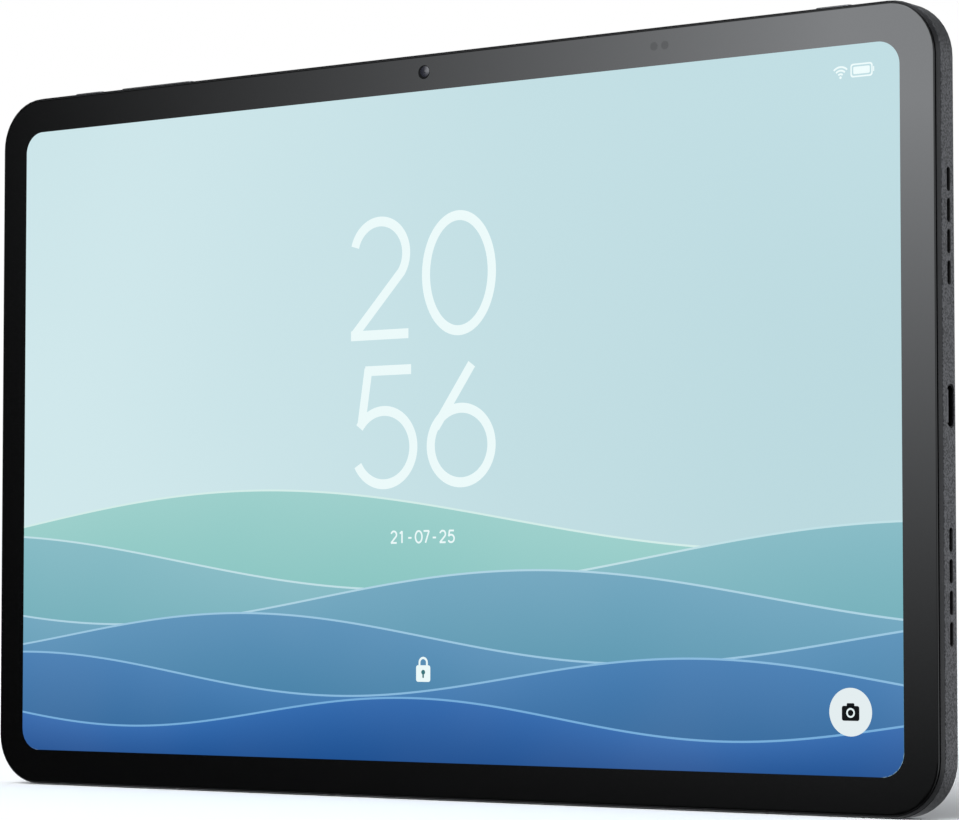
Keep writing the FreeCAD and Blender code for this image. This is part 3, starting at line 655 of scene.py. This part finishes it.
# A rounded mark about a centre line: half width, bottom, top and corner.
def centredMark(x, y, sizes):
    half, bottom, top, corner = sizes
    return roundedMark(x - half, x + half, y + bottom, y + top, corner)


# The battery's outline drawn in by the given distance.
def batteryLoop(inset, corner):
    return roundedMark(battery["left"] + inset, battery["right"] - inset, battery["bottom"] + inset,
                       battery["top"] - inset, corner)


outerCorner, innerCorner, fillCorner = battery["corners"]
batteryRim = [batteryLoop(0, outerCorner), batteryLoop(battery["stroke"], innerCorner)]
batteryFill = batteryLoop(2 * battery["stroke"], fillCorner)
tipStart, tipEnd, tipInset, tipCorner = battery["tip"]
batteryTip = roundedMark(battery["right"] + tipStart, battery["right"] + tipEnd, battery["bottom"] + tipInset,
                         battery["top"] - tipInset, tipCorner)
buttonX, buttonY = cameraMark["centre"]
lockHalf = padlock["height"] / 2
lockBody = centredMark(lockX, lockY, (padlock["width"] / 2, -lockHalf, lockHalf, padlock["corner"]))
keyholeRise, keyholeRadius = padlock["keyhole"]
lensRise, lensOuter, lensInner = cameraMark["lens"]
lensLoops = [circleLoop(buttonX, buttonY + lensRise, lensOuter, 32),
             circleLoop(buttonX, buttonY + lensRise, lensInner, 32)]
whiteMarks = [markMesh("batteryRim", batteryRim, 0),
              markMesh("batteryFill", [batteryFill], 0),
              markMesh("batteryTip", [batteryTip], 0),
              markMesh("padlockBody", [lockBody], 0),
              markMesh("wirelessDot", [circleLoop(waveX, waveY, wireless["dot"], 20)], 0),
              markMesh("cameraLens", lensLoops, 2)]
darkMarks = [markMesh("cameraBody", [centredMark(buttonX, buttonY, cameraMark["body"])], 1),
             markMesh("cameraHump", [centredMark(buttonX, buttonY, cameraMark["hump"])], 1)]
shadeMarks = [markMesh("keyhole", [circleLoop(lockX, lockY + keyholeRise, keyholeRadius, 24)], 1),
              markMesh("keySlot", [centredMark(lockX, lockY, padlock["keySlot"])], 2)]
buttonMark = markMesh("cameraButton", [circleLoop(buttonX, buttonY, cameraMark["radius"], 72)], 0)
fit(joined("litMarks", whiteMarks, markWhite), "display_cell")
fit(joined("unlitMarks", darkMarks, markDark), "display_cell")
fit(joined("shadeMarks", shadeMarks, markShade), "display_cell")
fit(joined("buttonMark", [buttonMark], markPale), "display_cell")

# front camera and sensors in the border

print("front camera")
frontCamera = {
    "holeRadius": 1.55 * mm, "lensRadius": 1.2 * mm, "lensHeight": 0.075 * mm,
    "pupilRadius": 0.3 * mm, "pupilHeight": 0.026 * mm,
    "lensShift": (0.24 * mm, 0.12 * mm),
    "holeDepth": 0.112 * mm, "lensDepth": 0.108 * mm, "pupilDepth": 0.030 * mm,
    "sensors": (60.0 * mm, 62.7 * mm), "sensorRadius": 0.9 * mm,
}


# A shallow dome that bulges towards the front.
def domeMesh(name, x, z, radius, height, base, rings=10, steps=40):
    shape = bmesh.new()
    lines = []
    for ring in range(1, rings + 1):
        share = ring / rings
        depth = base - height * (1 - share * share)
        lines.append([shape.verts.new((px, depth, pz)) for px, pz in circleLoop(x, z, radius * share, steps)])
    tip = shape.verts.new((x, base - height, z))
    for i in range(steps):
        j = (i + 1) % steps
        shape.faces.new((tip, lines[0][i], lines[0][j]))
        for inner, outer in zip(lines, lines[1:]):
            shape.faces.new((inner[i], outer[i], outer[j], inner[j]))
    for face in shape.faces:
        face.smooth = True
    mesh = bpy.data.meshes.new(name)
    shape.to_mesh(mesh)
    shape.free()
    return mesh


def darkGloss(name, colour, specular):
    material = borderGlass(name, colour)
    shader = next(node for node in material.node_tree.nodes if node.type == "BSDF_PRINCIPLED")
    shader.inputs["Specular IOR Level"].default_value = specular
    return material


lensLow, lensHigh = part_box("front_camera_lens")
lensX, lensZ = (lensLow.x + lensHigh.x) / 2, (lensLow.z + lensHigh.z) / 2
domeX, domeZ = lensX + frontCamera["lensShift"][0], lensZ + frontCamera["lensShift"][1]
holeMesh = flatMesh("cameraHole", [circleLoop(lensX, lensZ, frontCamera["holeRadius"])],
                    inlaid(frontCamera["holeDepth"]))
fit(joined("cameraHole", [holeMesh], darkGloss("dark camera well", tint(5, 5, 6), 0.06)), "lens_glass")
lensMeshes = [domeMesh("lensDome", domeX, domeZ, frontCamera["lensRadius"], frontCamera["lensHeight"],
                       inlaid(frontCamera["lensDepth"])),
              domeMesh("lensPupil", domeX, domeZ, frontCamera["pupilRadius"], frontCamera["pupilHeight"],
                       inlaid(frontCamera["pupilDepth"]))]
fit(joined("frontLensDome", lensMeshes, darkGloss("coated front lens", tint(30, 30, 36), 0.4)), "lens_glass")
sensorMeshes = [flatMesh("sensorSpot", [circleLoop(x, lensZ, frontCamera["sensorRadius"], 32)],
                         inlaid(frontCamera["holeDepth"])) for x in frontCamera["sensors"]]
fit(joined("sensorSpots", sensorMeshes, darkGloss("sensor window", tint(3, 3, 3), 0.39)), "cover_glass")

# charging socket, contacts, camera window and lenses

print("socket, mesh and lenses")
# The socket shell's steel is darkened well below bright steel: painted shade in the socket opening.
shadedSocketSteel = finish("socket steel with painted shade", tint(58, 58, 61), 0.32, 1.0, grain=0.25, depth=0.004, spread=0.08)
# The tongue's black resin is lightened to grey: painted sheen standing in for its glints.
paleTongueResin = finish("tongue resin with painted sheen", tint(92, 92, 95), 0.45, 0.0, grain=0.2, depth=0.003, spread=0.08)
contactGold = finish("contact gold", tint(206, 170, 96), 0.25, 1.0, grain=0.2, depth=0.0, spread=0.06)
fit(copyOf("usb_c_shell", "socketShell", shadedSocketSteel), "socket_steel", "usb_c_shell")
fit(copyOf("usb_c_tongue", "socketTongue", paleTongueResin), "socket_polymer", "usb_c_tongue")

contacts = {"count": 12, "pitch": 0.5 * mm, "size": (3.4 * mm, 0.02 * mm, 0.26 * mm), "setback": 0.7 * mm}


# A row of contact pads.
def contactTree():
    sockets = (("Count", "NodeSocketInt"), ("Pitch", "NodeSocketFloat"), ("Size", "NodeSocketVector"),
               ("Start", "NodeSocketVector"), ("Finish", "NodeSocketMaterial"))
    tree, source, result = nodeTree("contact row", sockets)
    step = addNode(tree, "ShaderNodeCombineXYZ", {0: 0.0, 1: 0.0, 2: source.outputs["Pitch"]})
    row = addNode(tree, "GeometryNodeMeshLine", {"Count": source.outputs["Count"],
                                                 "Start Location": source.outputs["Start"],
                                                 "Offset": step.outputs[0]})
    pad = addNode(tree, "GeometryNodeMeshCube", {"Size": source.outputs["Size"]})
    placed = addNode(tree, "GeometryNodeInstanceOnPoints", {"Points": row.outputs[0],
                                                            "Instance": pad.outputs[0]})
    real = addNode(tree, "GeometryNodeRealizeInstances", {"Geometry": placed.outputs[0]})
    painted = addNode(tree, "GeometryNodeSetMaterial", {"Geometry": real.outputs[0],
                                                        "Material": source.outputs["Finish"]})
    tree.links.new(painted.outputs[0], result.inputs[0])
    return tree


tongueLow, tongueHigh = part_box("usb_c_tongue")
rowTree = contactTree()
for side, faceY in (("Front", tongueLow.y), ("Rear", tongueHigh.y)):
    start = Vector((tongueHigh.x - contacts["setback"] - contacts["size"][0] / 2, faceY,
                    (tongueLow.z + tongueHigh.z) / 2 - contacts["pitch"] * (contacts["count"] - 1) / 2))
    holder = linkPiece("contactHolder" + side, bpy.data.meshes.new("contactHolder"))
    values = {"Count": contacts["count"], "Pitch": contacts["pitch"], "Size": contacts["size"],
              "Start": start, "Finish": contactGold}
    row = meshFromTree("contacts" + side, holder, rowTree, values)
    fit(row, "socket_steel")

lensGlass = clearGlass("lens glass", (0.62, 0.66, 0.8, 1))
windowGlass = clearGlass("camera window glass", (0.75, 0.75, 0.78, 1))
flashLens = finish("flash lens resin", tint(226, 222, 206), 0.18, 0.0, grain=0.4, depth=0.02, spread=0.05)
fit(copyOf("camera_window", "cameraWindow", windowGlass), "lens_glass", "camera_window")
fit(copyOf("rear_camera_lens", "rearCameraLens", lensGlass), "lens_glass", "rear_camera_lens")
fit(copyOf("front_camera_lens", "frontCameraLens", lensGlass), "lens_glass", "front_camera_lens")
fit(copyOf("flash_lens", "flashLens", flashLens), "flash_lens", "flash_lens")

# the pieces inside keep their CAD shape

print("inner pieces")
innerFinishes = {
    "clear_film": finish("touch film", tint(150, 156, 158), 0.2, 0.0, spread=0.03),
    "display_cell": finish("display panel edge", tint(20, 22, 24), 0.3, 0.0, spread=0.05),
    "light_guide": finish("light guide films", tint(235, 236, 236), 0.35, 0.0, spread=0.03),
    "sheet_steel": finish("stamped sheet steel", tint(176, 176, 178), 0.35, 1.0, grain=0.4, spread=0.06),
    "black_tape": finish("adhesive tape", tint(22, 22, 23), 0.6, 0.0, grain=0.6, spread=0.1),
    "plate_alloy": finish("pressed plate alloy", tint(168, 168, 172), 0.4, 1.0, grain=0.6, spread=0.06),
    "switch_body": finish("moulded switch resin", tint(40, 40, 40), 0.5, 0.0, spread=0.1),
    "flex_film": finish("amber flex film", tint(150, 96, 34), 0.35, 0.0, grain=0.8, spread=0.12),
    "circuit_board": finish("green solder mask", tint(24, 66, 44), 0.35, 0.0, grain=0.7, spread=0.18),
    "chip_resin": finish("chip resin", tint(28, 28, 29), 0.55, 0.0, spread=0.1),
    "graphite": finish("graphite sheet", tint(62, 62, 66), 0.4, 0.6, spread=0.15),
    "battery_pouch": finish("battery wrap", tint(74, 74, 78), 0.4, 0.3, grain=1.5, spread=0.08),
    "speaker_box": finish("speaker box resin", tint(30, 30, 31), 0.5, 0.0, spread=0.1),
    "camera_body": finish("camera module black", tint(20, 20, 21), 0.45, 0.0, spread=0.1),
    "antenna_carrier": finish("antenna carrier resin", tint(52, 50, 46), 0.5, 0.0, spread=0.1),
    "screw_steel": finish("screw steel", tint(160, 160, 164), 0.3, 1.0, grain=0.2, spread=0.06),
    "dust_mesh": finish("woven mesh wire", tint(34, 34, 36), 0.4, 1.0, grain=0.2, depth=0.0, spread=0.1),
}
slotOf = {row["node"]: row["material_slot"] for row in frame["record"]["subparts"]}
for node, cadObject in frame["nodes"].items():
    if not cadObject.hide_render:
        cadObject.data.materials.clear()
        cadObject.data.materials.append(innerFinishes[slotOf[node]])

# floor, light and camera

print("studio")
studio = {
    "key": 5.2,                  # soft light from the front left, above the horizon
    "front": 0.02,
    "back": 0.74,
    "side": 1.0,
    "top": 0.4,
    "fill": (0.97, 1.0, 1.035, 1),
    "floorRadius": 4.0,
}
# Where each light starts and where it is full: angles in degrees, the others as parts of a direction.
reach = {
    "keyLeft": (46, 29), "keyRight": (-45, 0), "keyRise": (-5.5, 8.5),
    "keyFall": (2.2, 2.0),       # how fast it fades to the left and downwards
    "low": (0.15, 0.5, 1.0, 0.3),  # back and side light weaken away from the horizon
    "back": (-0.15, 0.35), "side": (0.45, 0.85), "top": (0.55, 0.95),
}
floorMesh = bpy.data.meshes.new("floor")
shape = bmesh.new()
bmesh.ops.create_circle(shape, cap_ends=True, radius=studio["floorRadius"], segments=96)
shape.to_mesh(floorMesh)
shape.free()
floor = linkPiece("floor", floorMesh)
floorFinish, _, floorShader = newMaterial("pale floor")
floorShader.inputs["Base Color"].default_value = (0.9, 0.9, 0.9, 1)
floorShader.inputs["Roughness"].default_value = 0.9
floorShader.inputs["Specular IOR Level"].default_value = 0.1
floorMesh.materials.append(floorFinish)
floor.visible_glossy = False
floor.visible_transmission = False

world = bpy.data.worlds.new("studio")
scene.world = world
world.use_nodes = True
tree = world.node_tree
tree.nodes.clear()
seenAlong = addNode(tree, "ShaderNodeTexCoord").outputs["Generated"]
direction = addNode(tree, "ShaderNodeSeparateXYZ", {0: seenAlong})
east, north, up = direction.outputs
west = mathNode(tree, "MULTIPLY", east, -1.0)
south = mathNode(tree, "MULTIPLY", north, -1.0)
leftward = mathNode(tree, "ARCTAN2", west, south)
rise = mathNode(tree, "ARCSINE", up)


def angleRange(value, degrees, smooth=True):
    return mapRange(tree, value, math.radians(degrees[0]), math.radians(degrees[1]), smooth=smooth)


keyLeft = mathNode(tree, "POWER", angleRange(leftward, reach["keyLeft"], smooth=False), reach["keyFall"][0])
keyRight = angleRange(leftward, reach["keyRight"])
keyRise = mathNode(tree, "POWER", angleRange(rise, reach["keyRise"], smooth=False), reach["keyFall"][1])
key = mathNode(tree, "MULTIPLY", mathNode(tree, "MULTIPLY", keyLeft, keyRight), keyRise)
low = mapRange(tree, mathNode(tree, "ABSOLUTE", up), *reach["low"])
back = mathNode(tree, "MULTIPLY", mapRange(tree, north, *reach["back"]), low)
side = mathNode(tree, "MULTIPLY", mapRange(tree, east, *reach["side"]), low)
top = mapRange(tree, up, *reach["top"])
level = mathNode(tree, "MULTIPLY_ADD", key, studio["key"], studio["front"])
level = mathNode(tree, "MULTIPLY_ADD", back, studio["back"], level)
level = mathNode(tree, "MULTIPLY_ADD", side, studio["side"], level)
level = mathNode(tree, "MULTIPLY_ADD", top, studio["top"], level)
seen = addNode(tree, "ShaderNodeLightPath").outputs["Is Camera Ray"]
strength = addNode(tree, "ShaderNodeMix", data_type="FLOAT")
tree.links.new(seen, strength.inputs[0])
tree.links.new(level, strength.inputs[2])
strength.inputs[3].default_value = 1.0
lightTint = mixColour(tree, seen, studio["fill"], (1, 1, 1, 1))
background = addNode(tree, "ShaderNodeBackground", {"Color": lightTint, "Strength": strength.outputs[0]})
tree.links.new(background.outputs[0], addNode(tree, "ShaderNodeOutputWorld").inputs[0])

shot = {
    "place": (0.4368, -0.60288, 0.04247),
    "forward": (-0.57511, 0.81636, 0.05306),
    "up": (0.03054, -0.04339, 0.99859),
    "lens": 126.685,
    "shiftY": 0.01714,
}
camera = bpy.data.objects.new("camera", bpy.data.cameras.new("camera"))
scene.collection.objects.link(camera)
forward = Vector(shot["forward"]).normalized()
right = forward.cross(Vector(shot["up"])).normalized()
above = right.cross(forward)
camera.matrix_world = Matrix(((right.x, above.x, -forward.x, shot["place"][0]),
                              (right.y, above.y, -forward.y, shot["place"][1]),
                              (right.z, above.z, -forward.z, shot["place"][2]),
                              (0, 0, 0, 1)))
camera.data.sensor_width = 36
camera.data.lens = shot["lens"]
camera.data.shift_y = shot["shiftY"]
camera.data.clip_start = 0.01
camera.data.clip_end = 50
scene.camera = camera
scene.view_settings.view_transform = "Standard"
scene.cycles.use_denoising = True
